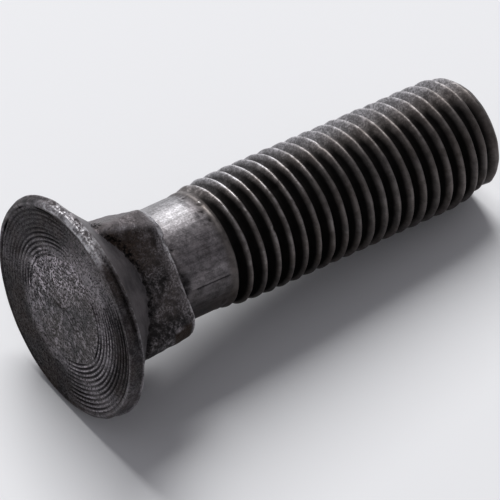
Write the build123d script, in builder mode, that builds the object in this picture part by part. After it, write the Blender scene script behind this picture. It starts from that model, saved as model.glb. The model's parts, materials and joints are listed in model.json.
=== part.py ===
"""Plow bolt, M16 x 60, with a countersunk head and a square neck.

One forged and rolled piece of steel. It stands on its head: the centre of the head's face is
the origin, the face lies in XY and the shank points up +Z. All lengths are in millimetres.

The thread is drawn in the simplified way of light models: its ridges have the real pitch and
outer diameter and run out onto the shank, but each turn closes on itself as a ring.
"""

import os
from math import radians, tan

from build123d import *

# Head: a thin band, drawn in a little towards the face, then a countersunk seat to the neck
face_diameter = 27.0
head_diameter = 28.0
head_band = 1.3
seat_half_angle = 45.0

# Square neck that keeps the bolt from turning, narrower towards the shank
neck_width = 16.4
neck_draft = 2.6
neck_end = 12.0

# The neck's corners are full at the head and worn round towards the shank
corner_diameter_at_head = 22.4
corner_diameter_at_shank = 18.8
corner_chamfer = 0.5

# Plain shank, as thick as the bar before its thread was rolled
shank_diameter = 14.4
shank_end = 19.5

# Rolled thread, coarse metric, with rounded-off flanks drawn as one straight line each
thread_diameter = 16.0
thread_pitch = 2.0
thread_depth = 1.15
run_out_length = 4.0

# Tapered point
overall_length = 60.0
point_diameter = 13.6
point_length = 4.4

head_radius = head_diameter / 2
shank_radius = shank_diameter / 2
thread_radius = thread_diameter / 2
point_radius = point_diameter / 2
seat_end = head_band + (head_radius - shank_radius) / tan(radians(seat_half_angle))
first_crest = shank_end + run_out_length
point_start = overall_length - point_length


def crest_radius(height):
    """The radius that a ridge reaches at this height: rising in the run-out, falling at the point."""
    if height < first_crest:
        share = (height - shank_end) / run_out_length
        return shank_radius + share * (thread_radius - shank_radius)
    if height > point_start:
        share = (height - point_start) / point_length
        return thread_radius + share * (point_radius - thread_radius)
    return thread_radius


def thread_outline():
    """The ridges and grooves along the thread, from its run-out to the end of the bolt."""
    points = []
    height = shank_end + thread_pitch / 2
    root_radius = thread_radius - thread_depth
    while height < overall_length:
        points.append((crest_radius(height), height))
        groove = height + thread_pitch / 2
        if groove < overall_length:
            points.append((min(root_radius, crest_radius(groove)), groove))
        height += thread_pitch
    return points


os.makedirs("parts", exist_ok=True)

with BuildPart() as plow_bolt:
    # Square neck, drafted, from inside the seat to its shoulder
    with BuildSketch(Plane.XY.offset(head_band)):
        Rectangle(neck_width, neck_width)
    extrude(amount=neck_end - head_band, taper=neck_draft)

    # Its corners taken down to a cone, with a small chamfer at the shoulder
    corner_top = corner_diameter_at_shank / 2
    corner_base = corner_diameter_at_head / 2
    with BuildSketch(Plane.XZ):
        with BuildLine():
            Polyline(
                (corner_base, head_band),
                (corner_top, neck_end - corner_chamfer),
                (corner_top - corner_chamfer, neck_end),
                (neck_width, neck_end),
                (neck_width, head_band),
                close=True,
            )
        make_face()
    revolve(axis=Axis.Z, mode=Mode.SUBTRACT)

    # Head, shank and thread, turned in one outline
    with BuildSketch(Plane.XZ):
        with BuildLine():
            Polyline(
                (0, 0),
                (face_diameter / 2, 0),
                (head_radius, head_band),
                (shank_radius, seat_end),
                (shank_radius, shank_end),
                *thread_outline(),
                (point_radius, overall_length),
                (0, overall_length),
                close=True,
            )
        make_face()
    revolve(axis=Axis.Z)

plow_bolt.part.label = "plow_bolt"
export_step(plow_bolt.part, "parts/plow_bolt.step")
print("volume", round(plow_bolt.part.volume, 1), "mm3")
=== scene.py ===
"""Looks of the plow bolt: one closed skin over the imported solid, dark forged steel, a pale table.

The skin is drawn in millimetres round the bolt's axis. Every point of it has an angle about the
axis, a height above the head's face and a radius, and is scaled to metres as the mesh is made.
"""

import json
from math import cos, pi, radians, sin, tan

import bpy
import numpy as np
from mathutils import Matrix, Quaternion, Vector


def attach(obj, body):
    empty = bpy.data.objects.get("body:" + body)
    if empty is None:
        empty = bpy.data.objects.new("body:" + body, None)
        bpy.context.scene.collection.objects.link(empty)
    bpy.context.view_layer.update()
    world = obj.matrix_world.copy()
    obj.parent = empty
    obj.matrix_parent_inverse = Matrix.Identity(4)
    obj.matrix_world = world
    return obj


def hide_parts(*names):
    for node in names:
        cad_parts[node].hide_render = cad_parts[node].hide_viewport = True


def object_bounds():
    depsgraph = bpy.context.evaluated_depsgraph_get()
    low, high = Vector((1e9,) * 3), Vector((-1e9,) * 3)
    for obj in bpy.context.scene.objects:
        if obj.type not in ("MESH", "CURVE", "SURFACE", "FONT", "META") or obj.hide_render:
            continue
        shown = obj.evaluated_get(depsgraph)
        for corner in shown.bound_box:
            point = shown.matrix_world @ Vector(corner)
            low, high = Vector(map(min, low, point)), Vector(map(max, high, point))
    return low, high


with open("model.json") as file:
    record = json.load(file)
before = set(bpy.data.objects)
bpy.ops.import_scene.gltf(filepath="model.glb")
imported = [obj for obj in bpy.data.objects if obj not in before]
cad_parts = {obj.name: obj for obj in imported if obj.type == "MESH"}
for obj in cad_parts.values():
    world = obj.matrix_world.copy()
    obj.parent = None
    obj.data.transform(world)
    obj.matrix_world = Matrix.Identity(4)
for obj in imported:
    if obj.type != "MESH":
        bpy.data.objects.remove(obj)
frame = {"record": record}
cad_low, cad_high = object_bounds()
mount_heights = {m["name"]: m["pos_m"][2] * 1000 for m in frame["record"]["mounts"]}

# Sizes carried over from the solid, in millimetres
head_radius = (cad_high.x - cad_low.x) * 500
bolt_length = (cad_high.z - cad_low.z) * 1000
band_top = mount_heights["seat_cone"]
neck_end = mount_heights["square_neck"]

# Angles about the axis: the side that the main view looks at, and the side that is up in it
seen_side = radians(-6.0)
upper_side = seen_side - pi / 2

# Head's face: a mottled middle disc, turned ridges round it, and a lip round the ridges
disc_radius = 6.9
ridge_spacing = 0.55
lip_inner_radius = 12.95
lip_edge_radius = 13.15

# Neck: half of its width across flats, draft of each flat in degrees, reach of its corners
neck_half_width = 8.15
neck_draft = 2.6
corner_at_head = 11.1
corner_at_end = 9.4
fullest_corner_angle = radians(50)

# The hollow in one flat of the neck
hollow_angle = radians(-27)
hollow_height = 7.2

# Plain shank, and the long scratch down it
shank_base_radius = 7.2
scratch_angle = seen_side + radians(35)

# Rolled thread
pitch = 2.0
thread_depth = 1.2
thread_nominal_radius = 8.0
first_crest_height = 19.49
thread_start = 18.0

# Heights, and how far the thread's ridges reach at each
crest_profile = (
    (17.5, 7.15), (18.5, 7.2), (19.3, 7.36), (20.2, 7.52), (20.7, 7.62), (21.8, 7.76), (23.5, 7.88),
    (27.0, 7.96), (55.1, 7.96), (55.8, 7.76), (56.4, 7.57), (57.2, 7.29), (57.9, 7.1), (58.6, 7.0),
    (60.0, 6.9),
)

# Nicks in the crests: angle from the seen side in degrees, height, depth and half length
nicks = (
    (10, 25.58, 0.22, 0.35), (-18, 23.30, 0.12, 0.3), (-25, 28.94, 0.18, 0.4), (-2, 29.45, 0.14, 0.3),
    (-44, 37.39, 0.16, 0.5), (-54, 54.43, 0.45, 0.8), (38, 33.3, 0.12, 0.4), (150, 30.4, 0.2, 0.4),
    (-140, 44.1, 0.2, 0.5), (95, 49.2, 0.2, 0.4), (-170, 24.3, 0.18, 0.4), (120, 39.0, 0.15, 0.5),
)

# Pits beside the ends of the plain shank: angle from the seen side in degrees, height, radius
pits = (
    (-43, 19.2, 0.55), (-33, 18.75, 0.3), (-22, 18.9, 0.35), (-10, 12.5, 0.3), (16, 12.6, 0.6),
    (24, 12.75, 0.9), (33, 12.6, 0.7), (-62, 18.6, 0.25), (140, 18.8, 0.4), (-150, 12.6, 0.4),
    (95, 12.5, 0.3), (-115, 18.9, 0.3),
)

# A small bead of metal that the rolling left in the largest pit: angle, height and radius as above
bead_place = (-44, 19.3, 0.22)

# How finely the skin is divided
columns = 200
rows_per_turn = 14


# Small helpers

def smooth_max(a, b, width):
    """The larger of two, rounded over where they cross."""
    return (a + b + np.sqrt((a - b) ** 2 + width ** 2)) / 2


def smooth_min(a, b, width):
    """The smaller of two, rounded over where they cross."""
    return (a + b - np.sqrt((a - b) ** 2 + width ** 2)) / 2


def step(low, high, value):
    """0 at low, 1 at high and beyond, an S between."""
    share = np.clip((value - low) / (high - low), 0, 1)
    return share * share * (3 - 2 * share)


def hump(value, middle, width):
    """1 in the middle, falling to 0 on both sides of it."""
    return np.exp(-((value - middle) / width) ** 2)


def side_share(angle, middle):
    """1 on the side of the axis at the middle angle, -1 on the far side."""
    return np.cos(angle - middle)


def towards(angle, degrees, low, high):
    """1 on the side at degrees from the seen one, 0 far from it, an S between two shares of the way."""
    return step(low, high, side_share(angle, seen_side + radians(degrees)))


def turn_from(angle, middle):
    """How far an angle lies from a middle one, in radians close to it, with no jump at a full turn."""
    return 2 * np.sin((angle - middle) / 2)


def waves(angle, height, seed, around=(2, 14), along=(0.3, 2.4), count=24):
    """A soft random field on the bolt, between about -1 and 1, that closes round the axis."""
    draw = np.random.default_rng(seed)
    total = np.zeros(np.broadcast(angle, height).shape)
    for _ in range(count):
        turns = draw.integers(around[0], around[1] + 1)
        rate = draw.uniform(along[0], along[1]) * draw.choice([-1, 1])
        total += np.sin(turns * angle + rate * height + draw.uniform(0, 2 * pi))
    return total / np.sqrt(count) * 0.9


# The forged and rolled shape, as radii

def rim_height(angle):
    """Height of the burr between the head's band and its seat, which the forging left uneven."""
    return band_top + 0.1 - 0.4 * side_share(angle, upper_side)


def seat_radius(angle, height):
    """Countersunk seat, a little off centre."""
    return head_radius + band_top - 0.4 - 0.2 * side_share(angle, upper_side) - height


def half_width_at(height):
    """Half of the neck's width across its drafted flats."""
    return neck_half_width - tan(radians(neck_draft)) * (height - band_top)


def fullest_corner(angle):
    """1 at the neck's least worn corner, 0 away from it."""
    return hump(turn_from(angle, fullest_corner_angle), 0, 0.24)


def corner_reach(angle, height):
    """How far the neck's corners reach: worn round towards the shank, one side more than the other."""
    risen = np.abs(height - band_top) / (neck_end - band_top)
    worn_to = corner_at_end + 0.4 * np.sin(angle)
    reach = corner_at_head + (worn_to - corner_at_head) * risen ** 2.2
    return reach + 0.3 * fullest_corner(angle) * step(9.5, 11.5, height)


def neck_radius(angle, height):
    """Square neck: flats, worn corners, a hollow in one flat."""
    half_width = half_width_at(height)
    sharpness = 44
    inverse = np.zeros(np.broadcast(angle, height).shape)
    # Side of each flat, and how much farther out it lies than half the width
    for side, shift in ((0, 0.0), (pi / 2, 0.5), (pi, 0.0), (-pi / 2, 0.1)):
        inverse += (np.maximum(np.cos(angle - side), 0.02) / (half_width + shift)) ** sharpness
    square = inverse ** (-1 / sharpness)
    sunk = 0.3 * hump(np.sin(angle - hollow_angle), 0, 0.28) * hump(height, hollow_height, 1.6)
    sunk = sunk * (np.cos(angle - hollow_angle) > 0)
    rounded_end = 0.25 * step(10.9, 12.2, height)
    return smooth_min(square, corner_reach(angle, height), 0.15) - sunk - rounded_end


def scratch(angle, height):
    """The scratch down the plain shank: 1 in it, 0 beside it."""
    beside = np.sin(angle - scratch_angle) * shank_base_radius
    ahead = np.cos(angle - scratch_angle) > 0
    return hump(beside, 0, 0.16) * ahead * step(13.2, 14.2, height) * (1 - step(19.0, 19.4, height))


def dot(angle, height, degrees, dot_height, size):
    """A round mark on the shank, at degrees from the seen side: 1 in its middle, 0 away from it."""
    beside = turn_from(angle, seen_side + radians(degrees)) * shank_base_radius
    return hump(beside, 0, size) * hump(height, dot_height, size)


def bead(angle, height):
    """1 in the middle of the bead, 0 away from it."""
    return dot(angle, height, *bead_place)


def pitting(angle, height):
    """1 in the middle of a pit, 0 away from the pits."""
    total = np.zeros(np.broadcast(angle, height).shape)
    for pit in pits:
        total = np.maximum(total, dot(angle, height, *pit))
    return total * (1 - bead(angle, height))


def shank_radius(angle, height):
    """Plain shank, hardly out of round."""
    base = shank_base_radius + 0.05 * waves(angle, height, 11, around=(1, 5), along=(0.1, 0.6))
    return base - 0.06 * scratch(angle, height) - 0.12 * pitting(angle, height)


def body_radius(angle, height):
    """Seat, neck and shank together, with the forging's small unevenness."""
    core = smooth_max(seat_radius(angle, height), shank_radius(angle, height), 0.3)
    flats = neck_radius(angle, height)
    crumbs = np.maximum(1 + 1.3 * waves(angle, height, 8, around=(9, 60), along=(1, 8)), 0)
    groove = 0.16 * hump(flats, core, 0.35) * crumbs * (1 - step(9, 10, height))
    rough = waves(angle, height, 5) + 0.5 * waves(angle, height, 6, around=(15, 45), along=(2, 6))
    rough = 0.045 * rough * step(-0.5, 0.5, flats - core) + 0.02 * waves(angle, height, 7)
    return smooth_max(core, flats, 0.12) - groove + rough


def crest_radius(angle, height):
    """How far the thread's ridges reach, from the run-out to a point that was cropped askew."""
    late = 1.3 * (1 + side_share(angle, upper_side)) * step(50, 56, height)
    return np.interp(height - late, *zip(*crest_profile))


def crest_distance(angle, height):
    """Distance along the bolt from the nearest crest of the right-hand helix."""
    turn = (height - first_crest_height) / pitch - (angle - seen_side) / (2 * pi)
    return np.abs(turn - np.round(turn)) * pitch


def thread_radius(angle, height):
    """Rolled thread: rounded crests, wider rounded roots, shallow at both ends, nicked here and there."""
    flank_slope = 1.732
    cut = smooth_max(0.0, flank_slope * (crest_distance(angle, height) - 0.13), 0.16)
    cut = smooth_min(cut, thread_depth, 0.3)
    delay = 0.6 * (1 - side_share(angle, seen_side + radians(40)))
    full_depth = step(18.4, 20.9, height - delay) * (1 - 0.7 * step(57.5, 60.5, height))
    crest = crest_radius(angle, height) + 0.03 * waves(angle, height, 21, around=(3, 20))
    crest = crest - 0.14 * pitting(angle, height) + 0.12 * bead(angle, height)
    for degrees, nick_height, nick_depth, half_length in nicks:
        along = turn_from(angle, seen_side + radians(degrees)) * thread_nominal_radius
        crest = crest - nick_depth * hump(along, 0, half_length) * hump(height, nick_height, 0.5)
    return crest - cut * full_depth


def lip_start(angle):
    """Radius where the face's lip begins; the lip is wider on one part of the rim."""
    return lip_inner_radius - 0.5 * towards(angle, -30, 0.5, 1.0)


def ridge_phase(angle, radius):
    """Where a point lies among the face's turned ridges: a whole turn from one to the next."""
    wander = 0.06 * waves(angle, radius, 51, around=(1, 6), along=(0.1, 0.8))
    return 2 * pi * (radius + wander - disc_radius) / ridge_spacing


def ridge_strength(angle, radius):
    """How much of the turned ridges is left: most on two sides, a few next to the disc elsewhere."""
    lower = towards(angle, 68, 0.3, 0.7)
    upper = towards(angle, -95, 0.45, 0.8) * (0.9 - 0.25 * step(9.0, 10.0, radius))
    inner = 0.35 * (1 - step(7.5, 8.5, radius))
    left = np.maximum(np.maximum(lower, upper), np.maximum(inner, 0.12))
    left = left * (0.85 + 0.3 * waves(angle, radius, 53, around=(1, 9), along=(0.3, 2.5)))
    return np.clip(left, 0, 1) * step(disc_radius - 0.4, disc_radius, radius)


def face_height(angle, radius):
    """Head's face: a slightly sunk middle, turned ridges round it, a groove and a raised lip."""
    inside_lip = lip_start(angle) - radius
    ridge = 0.085 * ridge_strength(angle, radius) * np.cos(ridge_phase(angle, radius))
    ridge = ridge * step(0.1, 0.4, inside_lip)
    sink = 0.08 + 0.14 * towards(angle, -40, -0.6, 0.5)
    sink = sink * step(-0.35, 0.0, inside_lip)
    return 0.05 + sink + ridge + 0.03 * waves(angle, radius, 3, around=(1, 6), along=(0.3, 1.5))


# The skin: rings of points from the middle of the face to the middle of the thread's end

points = []
faces = []
angles = np.arange(columns) * 2 * pi / columns


def add_ring(radius, height):
    """Adds one closed ring of points and gives back their numbers."""
    first = len(points)
    radii = np.broadcast_to(radius, angles.shape)
    heights = np.broadcast_to(height, angles.shape)
    points.extend(zip(radii * np.cos(angles), radii * np.sin(angles), heights))
    return list(range(first, first + columns))


def join_rings(lower, upper):
    """Closes the strip between two rings."""
    for i in range(columns):
        j = (i + 1) % columns
        faces.append((lower[i], lower[j], upper[j], upper[i]))


def add_cap(ring, height, upward):
    """Closes the middle of a ring with a fan."""
    middle = len(points)
    points.append((0.0, 0.0, height))
    for i in range(columns):
        j = (i + 1) % columns
        faces.append((middle, ring[i], ring[j]) if upward else (middle, ring[j], ring[i]))


def face_rings():
    """Rings of the head's face, closer together where its ridges are."""
    middle_radii = np.linspace(0.8, disc_radius - 0.6, 9)
    ridge_radii = np.linspace(disc_radius - 0.5, lip_edge_radius - 0.09, 80)
    radii = [*middle_radii, *ridge_radii, lip_edge_radius]
    return [(radius, face_height(angles, radius)) for radius in radii]


def band_rings():
    """Rings round the lip and up the band to the burr."""
    burr_height = rim_height(angles)
    uneven = 0.06 * waves(angles, 0.0, 31, around=(3, 30))
    undercut = 0.2 * towards(angles, 5, 0.8, 0.96)
    rings = []
    for share in np.linspace(0.15, 1, 6):
        turn = share * pi / 2
        rings.append((lip_edge_radius + 0.6 * sin(turn) + uneven * share, 0.05 + 0.55 * (1 - cos(turn))))
    rings.append((13.68 + uneven - undercut, burr_height - 0.5))
    rings.append((13.74 + uneven - undercut, burr_height - 0.22))
    rings.append((13.93 + uneven * 0.5, burr_height - 0.08))
    rings.append((13.95 + uneven * 0.5, burr_height + 0.02))
    rings.append((13.8 + uneven * 0.5, burr_height + 0.12))
    return rings


def neck_rings():
    """Rings up the seat and the neck, over its shoulder and along the plain shank."""
    low = rim_height(angles) + 0.22
    high = neck_end - 0.4
    rings = []
    for share in np.linspace(0, 1, 48):
        height = low + share * (high - low)
        rings.append((body_radius(angles, height), height))
    shoulder = body_radius(angles, high)
    foot = shank_radius(angles, neck_end)
    chips = 0.25 * step(0.5, 1.2, waves(angles, 0.0, 41, around=(6, 40))) * (1 - fullest_corner(angles))
    for inward, drop in ((0.03, 0.22), (0.1, 0.1), (0.24, 0.02), (0.5, 0.0)):
        rings.append((np.maximum(shoulder - inward - chips, foot + 0.2), neck_end - drop - 0.4 * chips))
    rings.append((np.maximum((shoulder + foot) / 2 - 0.1, foot + 0.17), neck_end + 0.01))
    rings.append((foot + 0.14, neck_end + 0.04))
    rings.append((foot + 0.04, neck_end + 0.18))
    for height in np.linspace(neck_end + 0.5, thread_start, 10):
        rings.append((shank_radius(angles, height), height))
    return rings


def end_rings():
    """Rings over the thread's cropped end."""
    radius = thread_radius(angles, bolt_length - 0.2)
    rings = [(radius, bolt_length - 0.2)]
    for inward, drop in ((0.08, 0.05), (0.28, 0.0), (2.0, 0.02), (4.5, 0.03)):
        rings.append((radius - inward, bolt_length - drop))
    return rings


def add_rings(rings):
    """Adds rings one after another, with the strips between them, and gives back the rings' numbers."""
    numbers = [add_ring(radius, height) for radius, height in rings]
    for lower, upper in zip(numbers, numbers[1:]):
        join_rings(lower, upper)
    return numbers


def add_thread(bottom_ring, top_ring):
    """Fills between two rings with rows that follow the helix, so that its crests are smooth lines."""
    rise = pitch / rows_per_turn
    numbers = []
    for i, angle in enumerate(angles):
        lift = pitch * i / columns
        low_row = int(np.ceil((thread_start + 0.05 - lift) / rise))
        high_row = int(np.floor((bolt_length - 0.3 - lift) / rise))
        heights = np.arange(low_row, high_row + 1) * rise + lift
        radii = thread_radius(angle, heights)
        numbers.append({low_row + k: len(points) + k for k in range(len(heights))})
        points.extend(zip(radii * cos(angle), radii * sin(angle), heights))
    for i in range(columns):
        j = (i + 1) % columns
        shift = rows_per_turn if j == 0 else 0
        left = numbers[i]
        right = {row - shift: number for row, number in numbers[j].items()}
        low, high = max(min(left), min(right)), min(max(left), max(right))
        for row in range(low, high):
            faces.append((left[row], right[row], right[row + 1], left[row + 1]))
        faces.append((bottom_ring[i], bottom_ring[j], right[min(right)], left[min(left)]))
        if min(right) < low:
            faces.append((left[low], right[low - 1], right[low]))
        if min(left) < low:
            faces.append((right[low], left[low], left[low - 1]))
        faces.append((left[max(left)], right[max(right)], top_ring[j], top_ring[i]))
        if max(left) > high:
            faces.append((right[high], left[high + 1], left[high]))
        if max(right) > high:
            faces.append((left[high], right[high], right[high + 1]))


lower_rings = add_rings([*face_rings(), *band_rings(), *neck_rings()])
add_cap(lower_rings[0], face_height(0.0, 0.0), False)
upper_rings = add_rings(end_rings())
add_cap(upper_rings[-1], bolt_length - 0.03, True)
add_thread(lower_rings[-1], upper_rings[0])


# Masks that the steel is finished by, painted light and shade among them, one number for each point of the
# skin

place = np.array(points)
turned = np.arctan2(place[:, 1], place[:, 0])
reach = np.hypot(place[:, 0], place[:, 1])
height = place[:, 2]

upper = side_share(turned, upper_side)
inside_lip = lip_start(turned) - reach
over_rim = height - rim_height(turned)
over_neck_end = height - neck_end
over_bolt_end = height - bolt_length
neck_over_seat = neck_radius(turned, height) - seat_radius(turned, height)

# Where the bolt's parts are
above_rim = step(-0.05, 0.15, over_rim)
below_rim = 1 - above_rim
on_face = (1 - step(0.3, 0.5, height)) * step(-0.1, 0.1, inside_lip)
on_lip = step(-0.1, 0.1, -inside_lip) * below_rim
on_seat = above_rim * (1 - step(-0.15, 0.15, neck_over_seat)) * (1 - step(8.0, 8.5, height))
on_neck = above_rim * step(-0.15, 0.15, neck_over_seat) * (1 - step(-0.02, 0.05, over_neck_end))
on_thread = step(18.6, 19.4, height)
on_shank = step(-0.05, 0.05, over_neck_end) * (1 - on_thread)
on_point = step(54.5, 57.5, height - 1.3 * upper)
on_end = step(-0.15, -0.08, over_bolt_end)

# Face: disc with painted light towards its upper side, ridges with painted shade in their valleys, and the
# annulus that they are in
annulus = on_face * step(disc_radius - 0.3, disc_radius + 0.9, reach + 0.3 * waves(turned, reach, 52))
# The disc takes more bare metal towards its upper side: painted light
disc = 0.62 + 2.8 * np.maximum(upper, 0) * (reach / disc_radius) ** 2
disc = np.minimum(disc, 2.4) * (on_face - annulus)
ridges_left = ridge_strength(turned, reach) * on_face
ridge_wave = np.cos(ridge_phase(turned, reach))
# Painted shade in the valleys between the ridges
painted_ridge_valley_shade = (0.5 + 0.5 * ridge_wave) ** 0.7 * ridges_left
ridge_top = (0.5 - 0.5 * ridge_wave) ** 2 * ridges_left
smooth_part = annulus * towards(turned, -15, 0.85, 0.98) * (1 - step(9.5, 11.5, reach))
black_pits = on_face * towards(turned, -48, 0.9, 1.0) * hump(reach, 8.4, 0.8)

# Lip and band: a rubbed top with a painted highlight on it, painted shade in a groove inside the lip and in
# another below the burr
lip_brightest = towards(turned, -22, 0.95, 0.99)
# Rubbed metal on the lip's upper side, with a painted highlight that is strongest at lip_brightest
lip_wear_and_highlight = (1.25 + 0.95 * lip_brightest) * step(12.9, 13.15, reach) * towards(turned, -41, 0.82, 0.985)
lip_wear_and_highlight = lip_wear_and_highlight * (1 - 0.6 * (1 - lip_brightest) * step(13.6, 13.9, reach)) * below_rim
lip_edge = hump(reach, 13.25, 0.12) * (1 - step(0.4, 0.6, height))
# Painted shade in the groove inside the lip, on its upper side, where the rim shades it
painted_lip_groove_shade = 0.8 * hump(inside_lip, 0, 0.16) * (1 - step(0.4, 0.6, height)) * step(0.2, 0.8, upper)
painted_lip_groove_shade = painted_lip_groove_shade * (0.7 + 0.4 * waves(turned, 0, 62, around=(3, 25)))
# Painted shade in the undercut below the burr
painted_band_groove_shade = 0.5 * step(-0.62, -0.45, over_rim) * (1 - step(-0.2, -0.1, over_rim))
painted_band_groove_shade = painted_band_groove_shade * step(13.2, 13.4, reach) * towards(turned, 5, 0.8, 0.96)
burr = hump(over_rim, 0, 0.1) * step(13.6, 13.85, reach)

# Darker patches on the head, each towards one side of it
upper_dark_patch = below_rim * towards(turned, -82, 0.3, 0.9) * step(8.6, 10.0, reach)
upper_dark_patch = upper_dark_patch * (1 - 0.8 * step(12.6, 13.0, reach))
far_dark_patch = below_rim * towards(turned, 172, 0.3, 0.85) * step(7.4, 9.4, reach)
lower_dark_patch = on_face * towards(turned, 45, 0.7, 0.97) * step(9.0, 11.0, reach)
near_dark_patch = on_face * towards(turned, 8, 0.75, 0.95)
near_dark_patch = near_dark_patch * step(9.3, 10.5, reach) * (1 - step(12.0, 12.5, reach))
rim_dark_patch = below_rim * towards(turned, -12, 0.8, 0.97) * step(10.8, 12.2, reach)
lip_dark_patch = below_rim * towards(turned, 16, 0.7, 0.95) * step(12.6, 13.0, reach)
dark_patches = np.maximum.reduce([
    far_dark_patch, lower_dark_patch, 0.35 * near_dark_patch, (0.3 + 0.4 * step(0.3, 0.5, height)) * rim_dark_patch,
    0.85 * upper_dark_patch * (1 - lip_wear_and_highlight), 0.5 * lip_dark_patch * (1 - lip_wear_and_highlight),
])
ridge_top = ridge_top * np.maximum(towards(turned, 85, 0.2, 0.8), 0.5 * upper_dark_patch)

# Seam between the seat and the neck
seam_width = 0.6 + 0.4 * waves(turned, height, 61, around=(3, 24), along=(0.5, 3))
seam_width = np.maximum(seam_width + 0.7 * towards(turned, -36, 0.85, 0.98), 0.15)
seam = 0.85 * hump(neck_over_seat, 0.25, seam_width) * above_rim * (1 - step(8.0, 9.0, height))

# Neck: edges of the seen flat, painted top light on the upper flat, painted shade on a corner's facet,
# burnt scale, a painted light strip near the end, the shoulder with painted highlights
flat_edge = np.arccos(np.clip(half_width_at(height) / corner_reach(turned, height), -1, 1))
past_lower_edge = (turned - flat_edge) * reach
neck_ridge = on_neck * hump((turned + flat_edge) * reach, 0.1, 0.13) * (1 - step(8, 10, height))
# The upper flat of the neck is made lighter: painted top light
painted_neck_top_light = on_neck * step(-0.06, 0.0, -flat_edge - turned) * (turned > radians(-150))
# Painted shade on a facet of one corner
painted_facet_shade = on_neck * step(8.5, 8.8, height) * (1 - step(11.2, 11.45, height))
painted_facet_shade = painted_facet_shade * step(0.0, 0.25, past_lower_edge) * (turned < radians(80))
# Painted highlight along the facet's edge
painted_facet_edge_highlight = on_neck * step(8.5, 8.8, height) * (1 - step(9.9, 10.3, height))
painted_facet_edge_highlight = painted_facet_edge_highlight * hump(past_lower_edge, 0, 0.12)
burnt_hollow = on_neck * hump(np.sin(turned - hollow_angle), 0, 0.3) * hump(height, 7.6, 2.1)
scorch = on_neck * hump(neck_over_seat, 0.6, 1.3) * towards(turned, -34, 0.9, 0.99)
# Burnt scale, with the painted shade of the facet in it
burnt_scale_and_facet_shade = np.maximum.reduce([burnt_hollow, 1.3 * painted_facet_shade, 1.2 * scorch]) * (np.cos(turned) > 0)
# A lighter strip near the neck's end, where the flat curves over: painted light
painted_neck_end_light = on_neck * step(10.3, 10.9, height) * (1 - 0.6 * step(0.3, 0.8, upper)) * (1 - painted_facet_shade)
chipped = towards(turned, -42, 0.7, 0.9)
# Chips along the neck's end edge, with a painted highlight along it
shoulder_wear_and_highlight = hump(over_neck_end, -0.12 - 0.15 * chipped, 0.2 + 0.15 * chipped)
shoulder_wear_and_highlight = shoulder_wear_and_highlight * step(7.35, 7.55, reach) * (0.8 + 1.2 * chipped)
# Painted highlight along the shoulder on the seen side
painted_shoulder_highlight = hump(over_neck_end, -0.14, 0.09) * step(7.5, 7.7, reach)
painted_shoulder_highlight = painted_shoulder_highlight * (1 - chipped) * towards(turned, 5, 0.2, 0.6)

# Shank: painted shade in the corner below the shoulder, a dark end beside the thread, a painted highlight
# on its upper side
corner_width = 0.25 + 0.45 * towards(turned, 32, 0.75, 0.95)
# Painted shade in the corner below the shoulder
painted_shank_corner_shade = 0.6 * hump(over_neck_end, 0.1, corner_width) * step(0.0, 0.02, over_neck_end)
shank_end = step(17.6, 18.8, height) * (1 - step(19.1, 19.4, height)) * towards(turned, -40, -0.2, 0.9)
painted_shank_highlight = on_shank * hump(turn_from(turned, seen_side + radians(-44)), 0, 0.31)
painted_shank_highlight = painted_shank_highlight * (0.3 + 0.7 * step(12.6, 14.2, height)) * (1 - step(16.5, 19.0, height))

# Shank and thread: painted light on the side that is up in the main view, painted shade on the side that is
# down
painted_top_light = step(0.6, 1.0, upper) * (on_shank + on_thread) * (0.4 + 0.6 * step(12.4, 14.2, height))
painted_top_light = painted_top_light * (1 - 0.6 * step(18.2, 19.2, height) * (1 - step(21, 23, height)))
painted_underside_shade = step(0.3, 0.95, -upper) * (on_shank + on_thread * (1 - 0.6 * step(30, 42, height)))
painted_underside_shade = painted_underside_shade * (1 - step(46, 56, height))

# Thread: dust with painted top light in the upper grooves, painted shade in the roots, rubbed crests with a
# painted highlight on the upper side
dust_and_painted_top_light = step(0.3, 1.0, upper) * step(19.0, 21.0, height) * (1 - on_end)
dust_and_painted_top_light = dust_and_painted_top_light * (1.1 - 0.25 * step(20, 23, height) + 0.6 * step(28, 44, height))
filled_by_dust_and_top_light = np.minimum(dust_and_painted_top_light, 1.2) * (0.45 + 0.03 * step(28, 42, height))
full_hollow = 0.62 + 0.3 * step(24, 46, height)
# Painted shade in the thread's roots
painted_thread_root_shade = np.clip((crest_radius(turned, height) - reach) / full_hollow, 0, 1) * on_thread
painted_thread_root_shade = painted_thread_root_shade * (1 - 0.2 * step(54, 58, height)) * (1 - step(-0.25, -0.1, over_bolt_end))
crest_wear = 0.75 - 0.6 * step(27, 37, height) + 0.25 * waves(turned, height, 71, around=(2, 12))
crest_wear_and_highlight = (1 - step(0.0, 0.28, crest_distance(turned, height))) * on_thread * crest_wear
crest_wear_and_highlight = crest_wear_and_highlight * step(19.6, 20.8, height) * (1 - step(52, 56, height))
# Rubbed crests, with a painted highlight: brighter on the upper side, dimmer on the lower
crest_wear_and_highlight = crest_wear_and_highlight * (0.5 + 0.5 * step(-0.1, 0.8, upper)) * (1 - 0.8 * step(0.3, 0.9, -upper))

# Dark marks: painted shade in the thread's roots, the lip and band grooves and the shoulder's corner, with
# the real scratch, pits and dark shank end
hollow = np.maximum.reduce([
    painted_thread_root_shade * (1 - filled_by_dust_and_top_light), painted_lip_groove_shade, painted_band_groove_shade, painted_shank_corner_shade, 0.45 * shank_end,
    0.7 * scratch(turned, height) * on_shank, 0.8 * pitting(turned, height) * (on_shank + on_thread),
])
# Rubbed edges and crests, with painted highlights on the lip's top, the upper crests and the neck's end
# edge
worn = np.maximum.reduce([
    burr, crest_wear_and_highlight, shoulder_wear_and_highlight, lip_wear_and_highlight, 0.4 * lip_edge, 0.7 * neck_ridge,
    1.5 * bead(turned, height) * on_thread,
])

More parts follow.
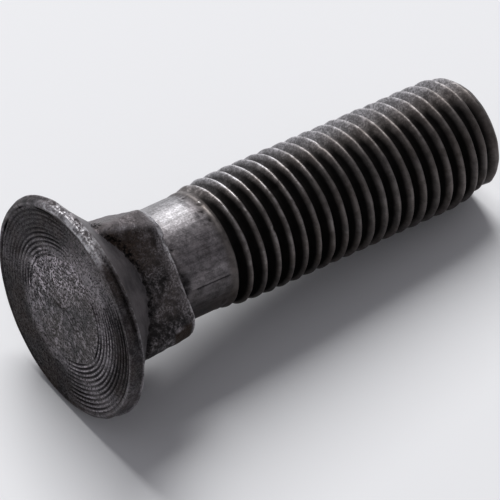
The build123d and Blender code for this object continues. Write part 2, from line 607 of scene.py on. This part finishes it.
masks = {
    "disc": disc, "annulus": annulus, "painted_valley_shade": painted_ridge_valley_shade, "ridge_top": ridge_top,
    "smooth_part": smooth_part, "black_pits": black_pits, "lip": on_lip, "dark_patches": dark_patches,
    # The seat gets more bare metal on its upper side: painted top light
    "seat": on_seat * (1 + 0.5 * np.maximum(upper, 0)), "seam": seam, "neck": on_neck,
    "painted_neck_top_light": painted_neck_top_light, "burnt_scale_and_facet_shade": burnt_scale_and_facet_shade, "strip": painted_neck_end_light,
    "painted_edge_highlight": np.maximum(painted_shoulder_highlight, painted_facet_edge_highlight), "shank": on_shank, "painted_shank_highlight": painted_shank_highlight,
    "painted_top_light": painted_top_light, "painted_underside_shade": painted_underside_shade, "thread": on_thread, "dust_and_painted_top_light": dust_and_painted_top_light, "point": on_point,
    "end": on_end, "hollow": hollow, "worn": worn,
}

skin_mesh = bpy.data.meshes.new("bolt_skin")
skin_mesh.from_pydata((place / 1000).tolist(), [], faces)
skin_mesh.validate()
skin_mesh.update()
skin_mesh.shade_smooth()
for name, values in masks.items():
    layer = skin_mesh.attributes.new(name, "FLOAT", "POINT")
    layer.data.foreach_set("value", values.astype(np.float32))
skin = bpy.data.objects.new("bolt_skin", skin_mesh)
bpy.context.scene.collection.objects.link(skin)


# Materials

class Value:
    """A shader socket whose arithmetic adds Math nodes, so that masks read as expressions."""

    def __init__(self, graph, socket):
        self.graph = graph
        self.socket = socket

    def __add__(self, other):
        return self.graph.math("ADD", self, other)

    def __sub__(self, other):
        return self.graph.math("SUBTRACT", self, other)

    def __rsub__(self, other):
        return self.graph.math("SUBTRACT", other, self)

    def __mul__(self, other):
        return self.graph.math("MULTIPLY", self, other)

    __radd__ = __add__
    __rmul__ = __mul__


class Graph:
    """The nodes of one material."""

    def __init__(self, name):
        self.material = bpy.data.materials.new(name)
        self.material.use_nodes = True
        self.tree = self.material.node_tree
        self.shader = self.tree.nodes["Principled BSDF"]

    def node(self, kind, output, settings=None, inputs=None):
        """Adds one node, sets it up, fills its sockets and gives back one of its outputs."""
        made = self.tree.nodes.new(kind)
        for name, value in (settings or {}).items():
            setattr(made, name, value)
        for name, value in (inputs or {}).items():
            self.fill(made.inputs[name], value)
        return Value(self, made.outputs[output])

    def fill(self, socket, value):
        """Links a socket to a value, or sets its constant."""
        if isinstance(value, Value):
            self.tree.links.new(value.socket, socket)
        else:
            socket.default_value = value

    def math(self, operation, *inputs):
        """One Math node."""
        return self.node("ShaderNodeMath", 0, {"operation": operation}, dict(enumerate(inputs)))

    def larger(self, first, second):
        """The larger of two."""
        return self.math("MAXIMUM", first, second)

    def mask(self, name):
        """One of the skin's masks."""
        return self.node("ShaderNodeAttribute", "Fac", {"attribute_name": name})

    def noise(self, where, scale, detail, roughness):
        """Soft noise between 0 and 1; scale is in features per millimetre."""
        inputs = {"Vector": where, "Scale": scale, "Detail": detail, "Roughness": roughness}
        return self.node("ShaderNodeTexNoise", "Fac", None, inputs)

    def ramp(self, value, low, high):
        """0 at low, 1 at high, an S between."""
        inputs = {"Value": value, "From Min": low, "From Max": high}
        return self.node("ShaderNodeMapRange", "Result", {"interpolation_type": "SMOOTHSTEP"}, inputs)

    def blend(self, share, first, second):
        """A colour between two."""
        inputs = {0: share, 6: first, 7: second}
        return self.node("ShaderNodeMix", 2, {"data_type": "RGBA"}, inputs)


def colour(red, green, blue):
    """An opaque colour."""
    return (red, green, blue, 1.0)


def dark_steel():
    """Oily dark steel: scale on the forged parts, drawn streaks on the shank, bright worn edges, painted
    highlights on upper sides, painted shade in hollows and on lower sides.
    """
    g = Graph("dark_steel")
    metres = g.node("ShaderNodeTexCoord", "Object")
    to_millimetres = {"Vector": metres, "Scale": 1000.0}
    spot = g.node("ShaderNodeVectorMath", "Vector", {"operation": "SCALE"}, to_millimetres)
    drawn_out = (1.0, 1.0, 0.07)
    along = g.node("ShaderNodeVectorMath", "Vector", {"operation": "MULTIPLY"}, {0: spot, 1: drawn_out})

    disc, annulus, lip, dark_patches = g.mask("disc"), g.mask("annulus"), g.mask("lip"), g.mask("dark_patches")
    painted_valley_shade, ridge_top = g.mask("painted_valley_shade"), g.mask("ridge_top")
    smooth_part, black_pits = g.mask("smooth_part"), g.mask("black_pits")
    seat, seam, neck, painted_neck_top_light = g.mask("seat"), g.mask("seam"), g.mask("neck"), g.mask("painted_neck_top_light")
    burnt_scale_and_facet_shade, strip, painted_edge_highlight = g.mask("burnt_scale_and_facet_shade"), g.mask("strip"), g.mask("painted_edge_highlight")
    shank, painted_shank_highlight, painted_top_light, painted_underside_shade = g.mask("shank"), g.mask("painted_shank_highlight"), g.mask("painted_top_light"), g.mask("painted_underside_shade")
    thread, dust_and_painted_top_light, point, end = g.mask("thread"), g.mask("dust_and_painted_top_light"), g.mask("point"), g.mask("end")
    hollow, worn = g.mask("hollow"), g.mask("worn")

    # Noise, and the spots, specks, patches, clouds and streaks made from it
    grain = g.noise(spot, 3.2, 3.0, 0.65)
    fine = g.noise(spot, 7.0, 2.0, 0.6)
    speck = g.noise(spot, 4.5, 2.0, 0.5)
    mottle = g.noise(spot, 0.9, 4.0, 0.6)
    cloud = g.noise(spot, 0.22, 3.0, 0.55)
    streak = g.noise(along, 2.2, 4.0, 0.6)
    spots = g.ramp(grain, 0.45, 0.58)
    specks = g.ramp(speck, 0.5, 0.6)
    patches = g.ramp(mottle, 0.38, 0.62)
    clouds = g.ramp(cloud, 0.4, 0.6)
    streaks = g.ramp(streak, 0.36, 0.66)
    patchy_spots = spots * patches
    streaky_spots = spots * streaks

    # How much bare metal shows through the scale on each part, with painted light on upper sides, on the
    # shank and near the neck's end, and painted shade on lower sides
    bare_and_painted_light = disc * (0.02 + 0.5 * patchy_spots + 0.14 * spots + 0.14 * specks) * (0.75 + 0.4 * clouds)
    bare_and_painted_light += annulus * (0.09 + 0.2 * spots + 0.12 * patches + 0.1 * specks)
    bare_and_painted_light += ridge_top * (0.14 + 0.4 * spots) + smooth_part * (0.04 + 0.08 * spots)
    bare_and_painted_light += lip * (0.06 + 0.16 * patchy_spots + 0.06 * specks)
    bare_and_painted_light += seat * (0.125 + 0.09 * clouds + 0.05 * patches)
    speckled = neck * (1 - painted_neck_top_light * 0.8) * (1 - burnt_scale_and_facet_shade * 0.7)
    bare_and_painted_light += speckled * (0.01 + 0.18 * patchy_spots + 0.16 * specks * patches + 0.06 * clouds)
    # Painted light on the strip near the neck's end and on the neck's upper flat
    bare_and_painted_light += strip * (0.05 + 0.1 * spots + 0.06 * specks) + painted_neck_top_light * (0.17 + 0.06 * spots + 0.07 * patches)
    drawn = 0.14 + 0.09 * streaks + 0.15 * patches + 0.14 * streaky_spots + 0.06 * specks
    # The shank and thread are darker on their lower side: painted shade
    bare_and_painted_light += shank * drawn * (1 - painted_underside_shade * 0.85)
    # Painted highlight on the shank's upper side
    bare_and_painted_light += painted_shank_highlight * (0.21 + 0.24 * streaky_spots + 0.12 * specks)
    # Painted light on the upper side of shank and thread
    bare_and_painted_light += painted_top_light * (0.17 + 0.14 * spots + 0.1 * specks)
    bare_and_painted_light += thread * (0.175 + 0.11 * patches) * (1 - point * 0.12) * (1 - painted_underside_shade * 0.6)
    # Dust with painted top light on the thread's upper side, and the end
    bare_and_painted_light += dust_and_painted_top_light * (0.05 + 0.36 * patchy_spots + 0.1 * specks) + end * (0.05 + 0.12 * spots)

    # Near-black marks: painted shade in grooves, thread roots, the shoulder's corner and ridge valleys,
    # with the real scratch, pits, pocks and crumbly seam
    dark = g.ramp(hollow, 0.1, 0.85)
    crumbly = g.ramp(seam + black_pits * 0.6 + (grain - 0.5) * 2.0 + (mottle - 0.5) * 1.5, 0.6, 1.1)
    # Painted shade in the face's ridge valleys, broken up by grain
    painted_furrow_shade = g.ramp(painted_valley_shade + (grain - 0.5) * 0.9, 0.2, 0.85)
    pocked = g.math("MINIMUM", disc + annulus + strip * 0.6, 1.0)
    pocks = (1 - g.ramp(speck, 0.36, 0.43)) * pocked * 0.75
    dark_marks_and_painted_shade = g.larger(g.larger(dark, pocks), g.larger(crumbly, painted_furrow_shade * 0.85))

    # Rubbed edges, with the painted highlights that share their mask
    wear_and_painted_highlight = worn * (0.15 + 0.85 * g.ramp(grain * 0.9 + mottle * 1.1, 0.8, 1.12))
    wear_and_painted_highlight = wear_and_painted_highlight * (1 - g.ramp(hollow, 0.3, 0.7)) * (1 - dark_patches * 0.7)
    # Bare metal, rubbed edges, and the painted edge highlights on top
    bright = bare_and_painted_light * (1 - dark_marks_and_painted_shade * 0.96) * (1 - dark_patches * 0.8) + wear_and_painted_highlight * 0.65 + painted_edge_highlight * 0.28

    scale = g.blend(clouds, colour(0.012, 0.011, 0.011), colour(0.018, 0.013, 0.01))
    # Brown of burnt scale, also laid over the painted facet shade
    scale = g.blend(burnt_scale_and_facet_shade, scale, colour(0.022, 0.014, 0.01))
    scale = g.blend(dark_marks_and_painted_shade, scale, colour(0.002, 0.002, 0.002))
    warm_share = neck * 0.1 + thread * 0.6 + shank * 0.15
    metal = g.blend(warm_share, colour(0.525, 0.487, 0.52), colour(0.5, 0.44, 0.39))
    metal = g.blend(painted_shank_highlight + painted_top_light + wear_and_painted_highlight, metal, colour(0.505, 0.495, 0.515))
    rough_skin = disc + annulus + neck + lip
    rough = 0.47 + 0.3 * (grain - 0.5) + hollow * 0.3 - worn * 0.1 + rough_skin * 0.08 + dust_and_painted_top_light * 0.16
    g.fill(g.shader.inputs["Base Color"], g.blend(bright, scale, metal))
    # Less metal in the near-black marks, the darker patches and the painted shade of the lower side
    g.fill(g.shader.inputs["Metallic"], 1 - g.larger(dark_marks_and_painted_shade * 0.9, dark_patches * 0.6 + painted_underside_shade * 0.35))
    g.fill(g.shader.inputs["Roughness"], rough)
    g.shader.inputs["Specular IOR Level"].default_value = 0.0

    # Fine relief, in millimetres
    dents = rough_skin * (g.ramp(grain, 0.34, 0.5) * 0.08 + fine * 0.05 + mottle * 0.12)
    dents += (1 - rough_skin) * (fine * 0.01 + mottle * 0.03) + shank * (streak * 0.02 + grain * 0.025)
    dents += (dust_and_painted_top_light * 0.05 + seam * 0.06) * grain
    relief = {"Height": dents, "Distance": 0.001, "Strength": 0.9}
    g.fill(g.shader.inputs["Normal"], g.node("ShaderNodeBump", "Normal", None, relief))
    return g.material


skin_mesh.materials.append(dark_steel())
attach(skin, "root")
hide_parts("plow_bolt")


# Camera: from below the head's side, rolled so that the bolt lies from lower left to upper right

camera_distance = 0.46193
camera_azimuth, camera_elevation, camera_roll = radians(83.655), radians(-28.594), radians(65.985)
camera_data = bpy.data.cameras.new("camera")
camera_data.lens = 278.9
camera_data.clip_start = 0.01
camera_data.clip_end = 20
camera = bpy.data.objects.new("camera", camera_data)
bpy.context.scene.collection.objects.link(camera)
bpy.context.scene.camera = camera
aim = Vector((0.00027, 0.00242, 0.02583))
flat_share = cos(camera_elevation)
back = Vector((sin(camera_azimuth) * flat_share, -cos(camera_azimuth) * flat_share, sin(camera_elevation)))
camera.location = aim + back * camera_distance
camera.rotation_mode = "QUATERNION"
camera.rotation_quaternion = (-back).to_track_quat("-Z", "Y") @ Quaternion((0, 0, 1), camera_roll)


# Stage: a pale table that the head's rim and the thread's end touch, seen from its upper side only

lean = radians(6.37)
table_side = Vector((-0.7004, 0.7138, 0)).normalized()
table_up = -(table_side * cos(lean) + Vector((0, 0, 1)) * sin(lean))
touch = (table_side * head_radius + Vector((0, 0, band_top))) / 1000


def stage_sheet(name, centre, normal, half_size, material):
    """A square sheet of the stage."""
    mesh = bpy.data.meshes.new(name)
    corners = [(x * half_size, y * half_size, 0) for x, y in ((-1, -1), (1, -1), (1, 1), (-1, 1))]
    mesh.from_pydata(corners, [], [(0, 1, 2, 3)])
    mesh.materials.append(material)
    made = bpy.data.objects.new(name, mesh)
    bpy.context.scene.collection.objects.link(made)
    made.matrix_world = Matrix.Translation(centre) @ normal.to_track_quat("Z", "Y").to_matrix().to_4x4()


def pale_sheet(name, floor_only):
    """A matt pale sheet that isn't there from behind; a floor is there for the eye alone."""
    g = Graph(name)
    g.shader.inputs["Base Color"].default_value = colour(0.80, 0.805, 0.82)
    g.shader.inputs["Roughness"].default_value = 0.7
    g.shader.inputs["Specular IOR Level"].default_value = 0.2
    behind = g.node("ShaderNodeNewGeometry", "Backfacing")
    if floor_only:
        behind = g.larger(behind, 1 - g.node("ShaderNodeLightPath", "Is Camera Ray"))
    clear = g.node("ShaderNodeBsdfTransparent", 0)
    solid = Value(g, g.shader.outputs[0])
    mixed = g.node("ShaderNodeMixShader", 0, None, {0: behind, 1: solid, 2: clear})
    g.fill(g.tree.nodes["Material Output"].inputs["Surface"], mixed)
    return g.material


sheet_half_size = 3.0
just_below_face = Vector((0, 0, -0.00002))
stage_sheet("table", touch, table_up, sheet_half_size, pale_sheet("pale_table", False))
stage_sheet("floor", just_below_face, Vector((0, 0, 1)), sheet_half_size, pale_sheet("pale_floor", True))


# Light: one large window behind the bolt as the main view sees it, and a weak pale room

view_right = camera.rotation_quaternion @ Vector((1, 0, 0))
far_side = table_up.cross(view_right)


def over_table(rise, turn):
    """A direction at an angle above the table; 0 turn is straight beyond the bolt, 90 is to the right."""
    flat = far_side * cos(radians(turn)) + view_right * sin(radians(turn))
    return table_up * sin(radians(rise)) + flat * cos(radians(rise))


def area_light(name, direction, distance, size, power):
    """A soft lamp that looks at the bolt's middle."""
    data = bpy.data.lights.new(name, "AREA")
    data.shape = "RECTANGLE"
    data.size, data.size_y = size
    data.energy = power
    made = bpy.data.objects.new(name, data)
    bpy.context.scene.collection.objects.link(made)
    made.location = Vector((0, 0, bolt_length / 2000)) + direction.normalized() * distance
    made.rotation_mode = "QUATERNION"
    made.rotation_quaternion = direction.to_track_quat("Z", "Y")


area_light("window", over_table(49.5, -17), distance=2.2, size=(1.6, 1.15), power=54)

world = bpy.data.worlds.new("room")
bpy.context.scene.world = world
world.use_nodes = True
world.node_tree.nodes["Background"].inputs["Color"].default_value = colour(0.95, 0.94, 1.0)
world.node_tree.nodes["Background"].inputs["Strength"].default_value = 0.265
bpy.context.scene.view_settings.view_transform = "Standard"
